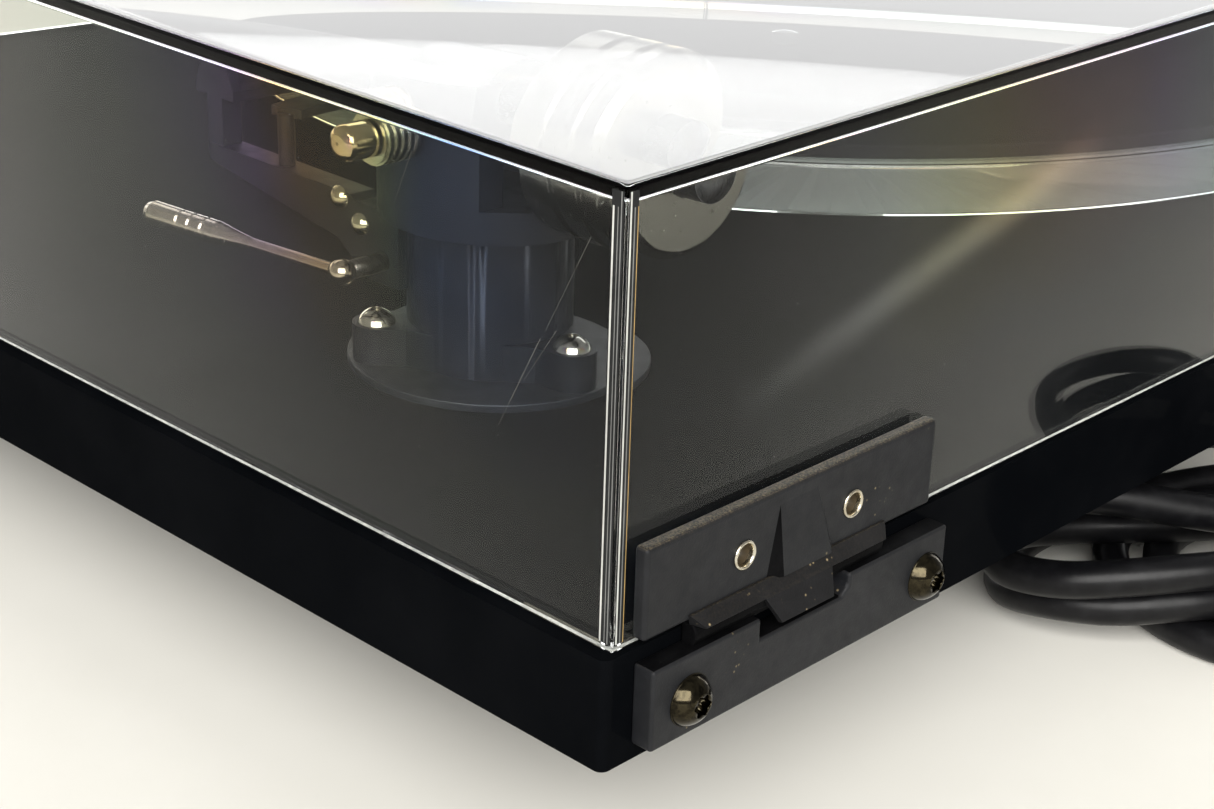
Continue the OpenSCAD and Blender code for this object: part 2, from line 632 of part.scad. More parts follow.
// Directions, in degrees from +X, in which the lead leaves the relief and enters the splitter
exit_deg = 141;
end_deg = 160;
relief_len = 20;
splitter_len = 24;
tail_r = 2;
// One tail's middle line, from the splitter's end, and where its plug starts
tail_points = [[0, 3, 3.5], [10, 4.5, 2.6], [22, 8, 2.6], [34, 12, 4.2], [42, 13, 5.7]];
plug_at = [41.5, 13, 5.7];

function unit(v) = v / norm(v);

// A tube of radius r swept along a line: one closed polyhedron
module tube_along(line, r, sides) {
    n = len(line);
    heading = [for (i = [0 : n - 1]) unit(line[min(i + 1, n - 1)] - line[max(i - 1, 0)])];
    across = [for (h = heading) unit(cross(h, [0, 0, 1]))];
    above = [for (i = [0 : n - 1]) cross(across[i], heading[i])];
    rings = [for (i = [0 : n - 1], k = [0 : sides - 1])
        line[i] + r * (cos(360 * k / sides) * across[i] + sin(360 * k / sides) * above[i])];
    polyhedron(points = rings, faces = concat(
        [[for (k = [0 : sides - 1]) k]],
        [for (i = [0 : n - 2], k = [0 : sides - 1]) let (j = (k + 1) % sides)
            [i * sides + k, (i + 1) * sides + k, (i + 1) * sides + j, i * sides + j]],
        [[for (k = [sides - 1 : -1 : 0]) (n - 1) * sides + k]]));
}

module at_exit() translate(lead_points[0]) rotate(exit_deg) children();
module at_end() let (p = lead_points[len(lead_points) - 1]) translate([p[0], p[1], 0]) rotate(end_deg)
    children();

module signal_lead() color("#161618") tube_along(lead_points, lead_r, 8);

// Clamp block under the board, and the tapered relief that the lead leaves
module lead_gland() color("#151517") at_exit() {
    block([-relief_len - 14, -8, -6], [-relief_len + eps, 8, 6.95]);
    translate([-relief_len, 0, 0]) rotate([0, 90, 0]) cylinder(h = relief_len, r1 = 5.5, r2 = 4.2);
}

module lead_splitter() color("#151517") at_end() {
    translate([splitter_len / 2, 0, 0.2]) linear_extrude(7) rounded(splitter_len, 12, 3);
    translate([splitter_len / 2, 0, 7.15]) linear_extrude(0.8) rounded(splitter_len - 4, 8, 2);
}

module plug_tails() color("#161618") at_end() translate([splitter_len, 0, 0]) {
    tube_along(tail_points, tail_r, 8);
    mirror([0, 1, 0]) tube_along(tail_points, tail_r, 8);
}

// Round plug: a tapered sleeve, the metal body, its outer contact and the pin
module plug(side) color("#c4c6c9") at_end() translate([splitter_len, 0, 0]) mirror([0, side, 0])
    translate(plug_at) rotate([0, 90, 0]) rotate_extrude() polygon([
        [0, 0], [2.6, 0], [3.4, 8], [5.4, 9.5], [5.4, 27], [4.3, 28], [4.3, 35], [3.9, 35], [3.9, 29],
        [1.6, 29], [1.6, 41], [0.8, 42.5], [0, 42.5]]);

module plug_a() plug(0);
module plug_b() plug(1);

// ---------- the whole ----------
plinth();
foot(feet_at[0]);  // foot_front_left
foot(feet_at[1]);  // foot_front_right
foot(feet_at[2]);  // foot_rear
foot_screws();
hinge_lower_right();
hinge_lower_left();
hinge_pins();
hinge_screws();
bearing_housing();
bearing_nut();
bearing_ball();
spindle();
sub_platter();
glass_platter();
platter_mat();
drive_belt();
motor_body();
motor_plate();
motor_screws();
motor_shaft();
motor_pulley();
belly_cover();
circuit_board();
power_socket();
switch_housing();
switch_rocker();
arm_spacer();
arm_base();
arm_base_screws();
arm_nut();
arm_bearings();
lift_bracket();
bracket_screws();
lift_platform();
lever_shaft();
lift_lever();
arm_yoke();
arm_spindle();
pivot_axle();
pivot_caps();
bias_dial();
arm_tube();
headshell();
finger_lift();
cartridge_body();
stylus_unit();
cartridge_screws();
rear_shaft();
counterweight();
cover();
hinge_upper_right();
hinge_upper_left();
cover_eyelets();
lead_gland();
signal_lead();
lead_splitter();
plug_tails();
plug_a();
plug_b();
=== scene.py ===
"""Looks of a belt-drive turntable: black board, clear hinged cover, glass platter, arm and signal lead."""
import math
import random

import bmesh
import bpy
from mathutils import Matrix, Vector


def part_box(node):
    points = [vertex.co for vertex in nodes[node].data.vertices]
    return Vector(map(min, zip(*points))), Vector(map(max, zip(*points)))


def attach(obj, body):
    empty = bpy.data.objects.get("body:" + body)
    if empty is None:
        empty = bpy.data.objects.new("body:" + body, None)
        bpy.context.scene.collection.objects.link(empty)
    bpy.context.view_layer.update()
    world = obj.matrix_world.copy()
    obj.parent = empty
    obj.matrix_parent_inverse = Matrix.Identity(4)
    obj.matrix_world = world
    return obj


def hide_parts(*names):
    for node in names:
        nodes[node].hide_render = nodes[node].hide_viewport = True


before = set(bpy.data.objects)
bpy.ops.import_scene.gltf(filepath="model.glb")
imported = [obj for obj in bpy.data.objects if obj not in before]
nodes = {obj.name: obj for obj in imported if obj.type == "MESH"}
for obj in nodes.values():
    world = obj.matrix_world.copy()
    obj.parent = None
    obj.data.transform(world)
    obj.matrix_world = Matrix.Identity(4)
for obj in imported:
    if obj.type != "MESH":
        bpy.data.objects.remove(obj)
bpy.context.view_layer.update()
MM = 0.001


# ---------- node helpers for materials ----------
def srgb(r, g, b):
    """An 8-bit screen colour as linear RGBA."""
    def linear(v):
        v /= 255
        return v / 12.92 if v <= 0.04045 else ((v + 0.055) / 1.055) ** 2.4
    return (linear(r), linear(g), linear(b), 1)


class Shader:
    """One Principled material, with short ways to add nodes to it."""

    def __init__(self, name, color=(0.5, 0.5, 0.5, 1), **sockets):
        self.mat = bpy.data.materials.new(name)
        self.mat.use_nodes = True
        self.tree = self.mat.node_tree
        self.bsdf = self.tree.nodes["Principled BSDF"]
        self.set("Base Color", color)
        for key, value in sockets.items():
            self.set(key.replace("_", " ").title().replace("Ior", "IOR"), value)

    def set(self, socket, value):
        self.bsdf.inputs[socket].default_value = value
        return self

    def node(self, kind, **props):
        made = self.tree.nodes.new(kind)
        for key, value in props.items():
            setattr(made, key, value)
        return made

    def link(self, a, b):
        self.tree.links.new(a, b)

    def coords(self, scale=(1, 1, 1)):
        """Object coordinates in metres, stretched."""
        mapping = self.node("ShaderNodeMapping")
        mapping.inputs["Scale"].default_value = scale
        self.link(self.node("ShaderNodeTexCoord").outputs["Object"], mapping.inputs["Vector"])
        return mapping.outputs["Vector"]

    def axes(self, vector):
        """The X, Y and Z of a vector."""
        split = self.node("ShaderNodeSeparateXYZ")
        self.link(vector, split.inputs["Vector"])
        return [split.outputs[k] for k in "XYZ"]

    def noise(self, scale, detail=4, rough=0.55, stretch=(1, 1, 1), distortion=0):
        made = self.node("ShaderNodeTexNoise")
        made.inputs["Scale"].default_value = scale
        made.inputs["Detail"].default_value = detail
        made.inputs["Roughness"].default_value = rough
        made.inputs["Distortion"].default_value = distortion
        self.link(self.coords(stretch), made.inputs["Vector"])
        return made.outputs["Fac"]

    def cells(self, scale):
        made = self.node("ShaderNodeTexVoronoi")
        made.inputs["Scale"].default_value = scale
        self.link(self.coords(), made.inputs["Vector"])
        return made.outputs["Distance"]

    def ramp(self, value, stops):
        made = self.node("ShaderNodeValToRGB")
        band = made.color_ramp
        while len(band.elements) < len(stops):
            band.elements.new(0.5)
        for element, (place, color) in zip(band.elements, stops):
            element.position = place
            element.color = color if len(color) == 4 else (*color, 1)
        self.link(value, made.inputs["Fac"])
        return made.outputs["Color"]

    def span(self, value, low, high, out_low, out_high):
        """Maps low..high to out_low..out_high, and stops at the ends."""
        made = self.node("ShaderNodeMapRange")
        ends = {"From Min": low, "From Max": high, "To Min": out_low, "To Max": out_high}
        for key, number in ends.items():
            made.inputs[key].default_value = number
        self.link(value, made.inputs["Value"])
        return made.outputs["Result"]

    def math(self, kind, a, b):
        made = self.node("ShaderNodeMath", operation=kind)
        for socket, value in zip(made.inputs, (a, b)):
            if isinstance(value, (int, float)):
                socket.default_value = value
            else:
                self.link(value, socket)
        return made.outputs["Value"]

    def plus(self, a, b):
        return self.math("ADD", a, b)

    def minus(self, a, b):
        return self.math("SUBTRACT", a, b)

    def times(self, a, b):
        return self.math("MULTIPLY", a, b)

    def mix(self, factor, a, b):
        """A colour between a and b, each a tuple or a node's output."""
        made = self.node("ShaderNodeMix", data_type="RGBA")
        self.link(factor, made.inputs["Factor"])
        for key, value in (("A", a), ("B", b)):
            socket = [s for s in made.inputs if s.name == key and s.type == "RGBA"][0]
            if isinstance(value, tuple):
                socket.default_value = value
            else:
                self.link(value, socket)
        return [s for s in made.outputs if s.type == "RGBA"][0]

    def color(self, value):
        self.link(value, self.bsdf.inputs["Base Color"])
        return self

    def roughness(self, value):
        self.link(value, self.bsdf.inputs["Roughness"])
        return self

    def bump(self, height, strength, distance):
        made = self.node("ShaderNodeBump")
        made.inputs["Strength"].default_value = strength
        made.inputs["Distance"].default_value = distance
        self.link(height, made.inputs["Height"])
        self.link(made.outputs["Normal"], self.bsdf.inputs["Normal"])
        return self

    def lets_lamps_through(self, tint):
        """Clear sheet: rays from lamps pass straight through it."""
        clear = self.node("ShaderNodeBsdfTransparent")
        clear.inputs["Color"].default_value = tint
        path = self.node("ShaderNodeLightPath")
        both = self.node("ShaderNodeMixShader")
        self.link(path.outputs["Is Shadow Ray"], both.inputs["Fac"])
        self.link(self.bsdf.outputs["BSDF"], both.inputs[1])
        self.link(clear.outputs["BSDF"], both.inputs[2])
        self.link(both.outputs["Shader"], self.tree.nodes["Material Output"].inputs["Surface"])
        return self


# ---------- materials ----------
ACRYLIC_IOR = 1.49


def lacquer():
    """Deep black lacquer, with a faint unevenness of tone."""
    s = Shader("lacquer", srgb(8, 9, 11), roughness=0.5, specular_ior_level=0.0)
    s.set("Coat Weight", 0.02)
    s.set("Coat Roughness", 0.05)
    s.color(s.mix(s.span(s.noise(25, 5, 0.6), 0.4, 0.7, 0, 1), srgb(6, 7, 9), srgb(12, 13, 15)))
    return s.bump(s.noise(40, 2), 0.01, 0.0001).mat


def moulded(name, tone, rough=0.55, grain=2600, depth=0.00006, specular=0.35):
    """Moulded plastic with a fine spark-eroded grain and slight unevenness of tone."""
    s = Shader(name, tone, roughness=rough, specular_ior_level=specular)
    pale = tuple(min(1, c * 1.5 + 0.004) for c in tone[:3]) + (1,)
    s.color(s.mix(s.span(s.noise(90, 6, 0.7), 0.4, 0.75, 0, 1), tone, pale))
    s.roughness(s.span(s.noise(300, 3), 0.3, 0.7, rough - 0.06, rough + 0.08))
    return s.bump(s.noise(grain, 3, 0.7), 0.7, depth).mat


def dusty_plastic(name, tone, patchiness, top_dust_light_level):
    """The hinges' black plastic: fine grain, dust and a painted top light on faces that look up, and tan
    specks in patches.
    """
    dark = srgb(*tone)
    pale = srgb(*(v + 9 for v in tone))
    s = Shader(name, dark, roughness=0.5, specular_ior_level=0.24)
    base = s.mix(s.span(s.noise(120, 6, 0.7), 0.42, 0.72, 0, 1), dark, pale)
    # Faces that look up are painted paler tan: partly settled dust, partly painted light falling from above.
    facing_up = s.axes(s.node("ShaderNodeNewGeometry").outputs["Normal"])[2]
    top_dust_light_mask = s.times(s.span(facing_up, 0.5, 0.95, 0, top_dust_light_level),
                    s.span(s.noise(2600, 5, 0.8), 0.44, 0.68, 0, 1))
    specks = s.span(s.cells(760), 0.2, 0.08, 0, 1)
    patches = s.span(s.noise(110, 3), 0.62 - patchiness, 0.7 - patchiness, 0, 1)
    # dust carries both the tan specks and the painted top light of the up-facing faces.
    dust = s.math("MAXIMUM", top_dust_light_mask, s.times(s.times(specks, patches), 0.55))
    s.color(s.mix(dust, base, srgb(176, 158, 122)))
    s.roughness(s.span(s.noise(400, 3), 0.3, 0.7, 0.44, 0.58))
    return s.bump(s.noise(2600, 3, 0.7), 0.7, 0.00006).mat


def metal(name, tone, rough, stretch=(1, 1, 1), grain=900, depth=0.00001, mottle=0.06):
    """Metal with turning or drawing marks along one direction."""
    s = Shader(name, tone, metallic=1.0, roughness=rough)
    lines = s.noise(grain, 3, 0.6, stretch)
    s.roughness(s.span(lines, 0.3, 0.7, max(0.02, rough - mottle), rough + mottle))
    return s.bump(lines, 0.35, depth).mat


def tarnished(name, bright, dark, rough):
    """Plated metal that has dulled in patches."""
    s = Shader(name, bright, metallic=1.0, roughness=rough)
    spots = s.noise(700, 6, 0.7, distortion=0.6)
    s.color(s.mix(s.span(spots, 0.42, 0.66, 0, 1), bright, dark))
    s.roughness(s.span(spots, 0.35, 0.7, rough * 0.6, rough * 1.8))
    return s.bump(s.noise(1800, 3), 0.25, 0.00002).mat


def rubber(name, tone, rough=0.6):
    """Rubber or soft plastic with a fine, slightly worn skin."""
    s = Shader(name, tone, roughness=rough, specular_ior_level=0.3)
    pale = tuple(c * 1.6 + 0.003 for c in tone[:3]) + (1,)
    s.color(s.mix(s.span(s.noise(160, 5, 0.6), 0.4, 0.7, 0, 1), tone, pale))
    return s.bump(s.noise(1500, 4, 0.65), 0.5, 0.00008).mat


def cable_jacket():
    """Soft black PVC: satin, with faint uneven patches."""
    s = Shader("cable_jacket", srgb(14, 14, 16), roughness=0.38, specular_ior_level=0.22)
    s.color(s.mix(s.span(s.noise(240, 5, 0.7), 0.45, 0.75, 0, 1), srgb(11, 11, 13), srgb(24, 24, 26)))
    s.roughness(s.span(s.noise(90, 3), 0.3, 0.7, 0.3, 0.46))
    return s.bump(s.noise(1200, 3, 0.6), 0.3, 0.00006).mat


def felt():
    """Felt: short tangled fibres, quite matt."""
    s = Shader("felt", srgb(18, 18, 20), roughness=1.0, specular_ior_level=0.0)
    fibres = s.noise(1900, 8, 0.8, distortion=1.5)
    s.color(s.mix(s.span(fibres, 0.35, 0.7, 0, 1), srgb(12, 12, 14), srgb(38, 38, 42)))
    return s.bump(fibres, 0.9, 0.0003).mat


def platter_glass():
    """Float glass with a faint green tint, a little cloudy with dust."""
    s = Shader("platter_glass", (0.86, 0.93, 0.91, 1), roughness=0.03, ior=1.52)
    s.set("Transmission Weight", 0.9)
    s.bump(s.noise(25, 2), 0.03, 0.0003)
    return s.lets_lamps_through((0.85, 0.92, 0.9, 1)).mat


def clear_top():
    """The cover's top sheet: cast acrylic, greyed a little as painted shade over what lies under it."""
    s = Shader("cover_top", roughness=0.0, ior=ACRYLIC_IOR)
    s.set("Transmission Weight", 1.0)
    # The grey tint is painted shade that dims what is seen through the top sheet.
    s.color(s.mix(s.noise(12, 3, 0.5), (0.75, 0.76, 0.76, 1), (0.78, 0.78, 0.77, 1)))
    return s.lets_lamps_through((0.95, 0.95, 0.95, 1)).mat


def stress_colours(s, x, y, z):
    """Coloured bands near the top of the walls, in order from the front right corner to the rear left."""
    waver = s.span(s.noise(14, 3, 0.5), 0.3, 0.7, -0.012, 0.012)
    lean = s.times(s.minus(z, 0.1), 0.35)
    along = s.plus(s.plus(s.minus(y, x), lean), waver)
    tints = [(-0.4, (0.93, 0.95, 0.96)), (-0.2, (0.96, 0.94, 0.9)), (-0.165, (0.9, 0.94, 0.88)),
             (-0.14, (0.76, 0.74, 0.92)), (-0.126, (0.7, 0.5, 0.86)), (-0.116, (0.93, 0.6, 0.3)),
             (-0.105, (0.93, 0.86, 0.5)), (-0.096, (0.66, 0.82, 0.56)), (-0.086, (0.42, 0.56, 0.86)),
             (-0.066, (0.5, 0.6, 0.84)), (-0.055, (0.93, 0.95, 0.96)), (-0.02, (0.97, 0.97, 0.95)),
             (0.008, (0.93, 0.95, 0.9)), (0.024, (0.93, 0.91, 0.66)), (0.04, (0.96, 0.82, 0.5)),
             (0.056, (0.95, 0.68, 0.58)), (0.075, (0.76, 0.62, 0.88)), (0.1, (0.7, 0.84, 0.88)),
             (0.13, (0.76, 0.92, 0.82)), (0.4, (0.95, 0.93, 0.9))]
    reach = tints[-1][0]
    stops = [((place + reach) / (2 * reach), tint) for place, tint in tints]
    bands = s.ramp(s.span(along, -reach, reach, 0, 1), stops)
    return s.mix(s.span(s.plus(z, waver), 0.07, 0.1, 0, 1), (0.93, 0.94, 0.92, 1), bands)


def wiped_streak(s, x, y, z):
    """A streak that climbs across the rear wall, from 0 beside it to 1 on its middle line."""
    foot_x, foot_z, climb, half_width = 0.193, 0.0795, 0.2515, 0.0042
    line = s.times(s.minus(foot_x, x), climb)
    off = s.math("ABSOLUTE", s.minus(s.minus(z, foot_z), line), 0)
    streak = s.span(off, half_width, 0.0, 0, 1)
    for axis, start, end in ((x, 0.198, 0.13), (x, 0.108, 0.125), (y, 0.165, 0.17)):
        streak = s.times(streak, s.span(axis, start, end, 0, 1))
    return streak


def clear_walls():
    """The cover's walls: clear cast acrylic with stress colours, fine haze and a wiped streak."""
    s = Shader("cover_walls", roughness=0.0, ior=ACRYLIC_IOR)
    s.set("Specular Tint", (0.12, 0.12, 0.12, 1))
    x, y, z = s.axes(s.node("ShaderNodeTexCoord").outputs["Object"])
    s.color(stress_colours(s, x, y, z))
    cloud = s.span(s.noise(9, 4, 0.6, (1, 1, 0.5), 0.8), 0.35, 0.75, 0.2, 1)
    away = s.math("MAXIMUM", s.span(y, 0.11, 0.02, 0, 1), s.span(x, 0.2, 0.16, 0, 0.6))
    haze = s.times(cloud, s.times(away, 0.012))
    milky = s.plus(haze, s.times(wiped_streak(s, x, y, z), 0.05))
    s.link(s.minus(1.0, milky), s.bsdf.inputs["Transmission Weight"])
    return s.lets_lamps_through((0.93, 0.94, 0.94, 1)).mat


def sawn_edge():
    """The cover's sawn lower rim: white and frosted."""
    s = Shader("sawn_edge", roughness=0.55)
    grain = s.span(s.noise(900, 4, 0.6, (1, 1, 6)), 0.35, 0.65, 0, 1)
    s.color(s.mix(grain, srgb(122, 124, 122), srgb(176, 176, 170)))
    return s.bump(s.noise(1500, 3), 0.5, 0.00006).mat


def plain_paper():
    """Pale seamless paper for the floor."""
    s = Shader("paper", roughness=0.85, specular_ior_level=0.1)
    s.color(s.mix(s.span(s.noise(30, 4), 0.3, 0.7, 0, 1), (0.79, 0.775, 0.72, 1), (0.81, 0.795, 0.742, 1)))
    return s.mat


MATS = {
    "lacquer": lacquer(),
    # The last number sets how much dust and painted top light the faces that look up get.
    "hinge": dusty_plastic("hinge_black", (18, 19, 22), 0.0, 0.3),
    "leaf": dusty_plastic("hinge_lower", (19, 20, 23), 0.0, 0.03),
    "strip": dusty_plastic("hinge_strip", (13, 13, 15), 0.13, 0.1),
    # Near-black painted shade, used on the ramp's flank, the lower leaves' top faces and the knuckle rows
    # where shade falls.
    "shade": moulded("hinge_painted_shade", srgb(4, 4, 5), 0.6, specular=0.04),
    # Painted highlights, painted dark refraction lines and a painted golden line for the cover's upright
    # corners.
    "painted_glint": moulded("painted_corner_highlight", srgb(176, 177, 172), 0.4),
    "painted_dim_glint": moulded("painted_corner_dim_highlight", srgb(104, 105, 104), 0.4),
    "painted_dark_band": moulded("painted_corner_dark_line", srgb(24, 25, 26), 0.3, specular=0.15),
    "painted_gold_band": moulded("painted_corner_tint_line", srgb(150, 126, 78), 0.4),
    "speck": moulded("pale_dust", srgb(118, 118, 112), 0.8),
    # Darker colour for the inside of the eyelets: painted shade in the holes.
    "bore": rubber("eyelet_bore_painted_shade", srgb(60, 51, 36), 0.5),
    "case": moulded("case_black", srgb(30, 30, 32)),
    "socket": moulded("socket_black", srgb(18, 18, 19), 0.3),
    "rocker": moulded("rocker_black", srgb(26, 26, 28), 0.35),
    "spacer": moulded("spacer_black", srgb(14, 16, 20), 0.42, 1800, specular=0.25),
    "sub_platter": moulded("sub_platter_black", srgb(38, 38, 41), 0.45),
    "cartridge": moulded("cartridge_black", srgb(32, 32, 36), 0.3),
    "stylus": moulded("stylus_red", srgb(150, 22, 24), 0.3),
    "board": moulded("board_green", srgb(20, 84, 48), 0.35),
    "arm": moulded("arm_coat", srgb(10, 12, 17), 0.4, 2200, 0.00003, 0.22),
    "tube": moulded("tube_coat", srgb(16, 17, 20), 0.34, 1500, 0.00002, 0.4),
    "foot": rubber("foot_rubber", srgb(27, 27, 29)),
    "belt": rubber("belt_rubber", srgb(22, 22, 23)),
    "cable": cable_jacket(),
    "felt": felt(),
    "glass": platter_glass(),
    "motor": moulded("motor_coat", srgb(58, 60, 64), 0.4),
    "steel": metal("plain_steel", srgb(168, 170, 173), 0.32),
    "bright": metal("bright_screw", srgb(180, 178, 170), 0.14),
    "ground": metal("ground_steel", srgb(196, 198, 201), 0.15, (1, 1, 12)),
    "weight": metal("weight_steel", srgb(112, 111, 105), 0.22, (1, 14, 1), 500),
    "dark_shaft": metal("dark_shaft", srgb(82, 83, 87), 0.3, (12, 1, 1)),
    "lever": metal("lever_nickel", srgb(178, 168, 152), 0.22, (1, 10, 1)),
    "cap": metal("polished_cap", srgb(196, 178, 160), 0.12),
    "brass": metal("turned_brass", srgb(196, 160, 92), 0.25, (1, 1, 14)),
    "aluminium": metal("turned_aluminium", srgb(190, 191, 194), 0.25, (1, 1, 14)),
    "hinge_screw": tarnished("hinge_screw_black_nickel", srgb(62, 57, 44), srgb(26, 24, 20), 0.13),
    "eyelet": tarnished("eyelet_nickel", srgb(214, 209, 194), srgb(186, 174, 148), 0.2),
    "plug": metal("plug_plating", srgb(202, 203, 206), 0.18),
    "walls": clear_walls(),
    "top": clear_top(),
    "rim": sawn_edge(),
}


# ---------- helpers for pieces ----------
def soften(obj, width, angle=32, segments=3):
    """Small rounded edges, as moulding or machining leaves them."""
    if obj.name in nodes:
        weld = obj.modifiers.new("weld", "WELD")
        weld.merge_threshold = 1e-6
    bevel = obj.modifiers.new("bevel", "BEVEL")
    bevel.width = width
    bevel.segments = segments
    bevel.limit_method = "ANGLE"
    bevel.angle_limit = math.radians(angle)
    bevel.use_clamp_overlap = True
    shade = obj.modifiers.new("shade", "WEIGHTED_NORMAL")
    shade.weight = 90
    shade.keep_sharp = True


def dress(key, slot, *names, edge=None):
    """Gives CAD nodes a material, and small rounded edges where asked."""
    for name in names:
        nodes[name].data.materials.clear()
        nodes[name].data.materials.append(MATS[key])
        if edge:
            soften(nodes[name], edge)


def piece(name, mesh, key, slot, body, *replaced):
    """A new object that rides on a body and may stand for CAD nodes."""
    obj = bpy.data.objects.new(name, mesh)
    bpy.context.scene.collection.objects.link(obj)
    if key:
        mesh.materials.append(MATS[key])
    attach(obj, body)
    if replaced:
        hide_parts(*replaced)
    return obj


def close_up(bm, name, smooth=True):
    """Turns a bmesh into a mesh with outward normals."""
    bmesh.ops.remove_doubles(bm, verts=bm.verts, dist=1e-7)
    bmesh.ops.recalc_face_normals(bm, faces=bm.faces)
    mesh = bpy.data.meshes.new(name)
    bm.to_mesh(mesh)
    bm.free()
    if smooth:
        mesh.shade_smooth()
    else:
        mesh.shade_flat()
    return mesh


def flat_piece(bm, name, key, slot, body, *replaced):
    """A flat-shaded piece from a bmesh."""
    return piece(name, close_up(bm, name, False), key, slot, body, *replaced)


def smooth_piece(bm, name, key, slot, body, *replaced):
    """A smooth-shaded piece from a bmesh."""
    return piece(name, close_up(bm, name), key, slot, body, *replaced)


def lathe(bm, profile, place, sides=48, wobble=None):
    """Turns (radius, height) points about local Z, then places the result.

    wobble(angle, radius) may change a radius."""
    rings = []
    for r, z in profile:
        if r < 1e-9:
            rings.append([bm.verts.new(place @ Vector((0, 0, z)))])
            continue
        ring = []
        for k in range(sides):
            a = 2 * math.pi * k / sides
            radius = wobble(a, r) if wobble else r
            ring.append(bm.verts.new(place @ Vector((radius * math.cos(a), radius * math.sin(a), z))))
        rings.append(ring)
    for low, high in zip(rings, rings[1:]):
        for k in range(sides):
            n = k + 1
            quad = [low[k % len(low)], low[n % len(low)], high[n % len(high)], high[k % len(high)]]
            corners = [v for i, v in enumerate(quad) if v not in quad[:i]]
            if len(corners) > 2:
                bm.faces.new(corners)


# ---------- camera ----------
CAMERA_AT = (0.4260, 0.3643, 0.2107)
AZIMUTH, PITCH_DOWN, ROLL = 226.54, 23.82, 1.87
LENS = 69.04


def look():
    """The camera, from where it stands and the way it faces."""
    cam = bpy.data.cameras.new("camera")
    cam.sensor_width = 36
    cam.lens = LENS
    obj = bpy.data.objects.new("camera", cam)
    bpy.context.scene.collection.objects.link(obj)
    az, pitch, roll = (math.radians(d) for d in (AZIMUTH, PITCH_DOWN, ROLL))
    ahead = Vector((math.sin(az) * math.cos(pitch), math.cos(az) * math.cos(pitch), -math.sin(pitch)))
    side = Vector((math.cos(az), -math.sin(az), 0))
    up = side.cross(ahead)
    right = math.cos(roll) * side + math.sin(roll) * up
    above = math.cos(roll) * up - math.sin(roll) * side
    turn = Matrix((right, above, -ahead)).transposed()
    obj.matrix_world = Matrix.Translation(CAMERA_AT) @ turn.to_4x4()
    bpy.context.scene.camera = obj


look()

# ---------- signal lead ----------
LEAD_D = 0.007
TAIL_D = 0.004
# The lead's middle line, point for point as in the design
LEAD = [(98, 148, 24), (87, 157, 24), (77, 166, 23), (67, 175, 20.5), (57, 183, 18.5),
        (46, 190, 17.5), (34, 196, 17.5), (21, 201, 17.5), (8, 207, 17.5), (1, 219, 17.5), (6, 232, 17.5),
        (18, 238, 17.5), (31, 236, 17.5), (43, 227, 17.5), (53, 215, 17.5), (63, 203, 17.5),
        (73, 193, 17.5), (83, 186, 17.5), (92, 178, 16.5), (98, 168.5, 14.5), (98.5, 158, 12.5),
        (93, 150, 11.5), (83, 147.5, 11), (73, 152, 10.5), (62, 161, 10.5), (51, 170, 10.5),
        (39, 178, 10.5), (26, 184, 10.5), (12, 188, 10.5), (1, 196, 10.5), (-5, 208, 10.5),
        (-2, 222, 10.5), (10, 231, 10.5), (25, 232, 10.5), (38, 225, 10.5), (50, 213, 10.5),
        (61, 201, 10.5), (73, 191, 10.5), (83, 184, 10.5), (91, 175, 9), (95, 164, 7.5), (92, 153, 4.5),
        (83, 146, 3.5), (72, 143, 3.5), (60, 143, 3.5), (46, 145, 3.5), (31, 149, 3.5), (16, 156, 3.5),
        (4, 168, 3.5), (-1, 184, 3.5), (1, 202, 3.5), (10, 217, 3.5), (25, 226, 3.5), (43, 226, 3.5),
        (60, 218, 3.5), (73, 205, 3.5), (80, 190, 3.5), (77, 173, 3.5), (67, 160, 3.5), (53, 153, 3.5),
        (38, 155, 3.5), (24, 161, 3.5), (13, 171, 3.5), (8, 186, 3.5), (11, 202, 3.5), (22, 214, 3.5),
        (37, 217, 3.5), (53, 211, 3.5), (66, 199, 3.5), (71, 184, 3.5), (64, 170, 3.5), (50, 162, 4),
        (35, 165, 6), (21, 170, 10.5), (8, 174, 10.5), (-5, 178, 10.5), (-17, 182, 6), (-29, 186, 3.5),
        (-40, 190, 3.5)]
TAIL = [(0, 3, 3.5), (10, 4.5, 2.6), (22, 8, 2.6), (34, 12, 4.2), (42, 13, 5.7)]
SPLITTER_LEN = 0.024
END_DEG = 160


def metres(points):
    return [Vector(p) * MM for p in points]


def smooth_line(points, steps):
    """A smooth line through the points (Catmull-Rom)."""
    line = []
    for i in range(len(points) - 1):
        a, b = points[max(i - 1, 0)], points[i]
        c, d = points[i + 1], points[min(i + 2, len(points) - 1)]
        for k in range(steps):
            t = k / steps
            line.append(0.5 * (2 * b + (c - a) * t + (2 * a - 5 * b + 4 * c - d) * t * t
                               + (3 * b - a - 3 * c + d) * t ** 3))
    return line + [points[-1]]


def cable(name, line, diameter, slot, *replaced):
    """A round cable along a line, as one open spline."""
    curve = bpy.data.curves.new(name, "CURVE")
    curve.dimensions = "3D"
    curve.bevel_depth = diameter / 2
    curve.bevel_resolution = 6
    curve.use_fill_caps = True
    spline = curve.splines.new("POLY")
    spline.points.add(len(line) - 1)
    for point, place in zip(spline.points, line):
        point.co = (*place, 1)
    spline.use_smooth = True
    return piece(name, curve, "cable", slot, "plinth", *replaced)


def end_frame():
    """Local frame at the lead's end: X along the splitter, on the table."""
    end = Vector(LEAD[-1]) * MM
    return Matrix.Translation((end.x, end.y, 0)) @ Matrix.Rotation(math.radians(END_DEG), 4, "Z")


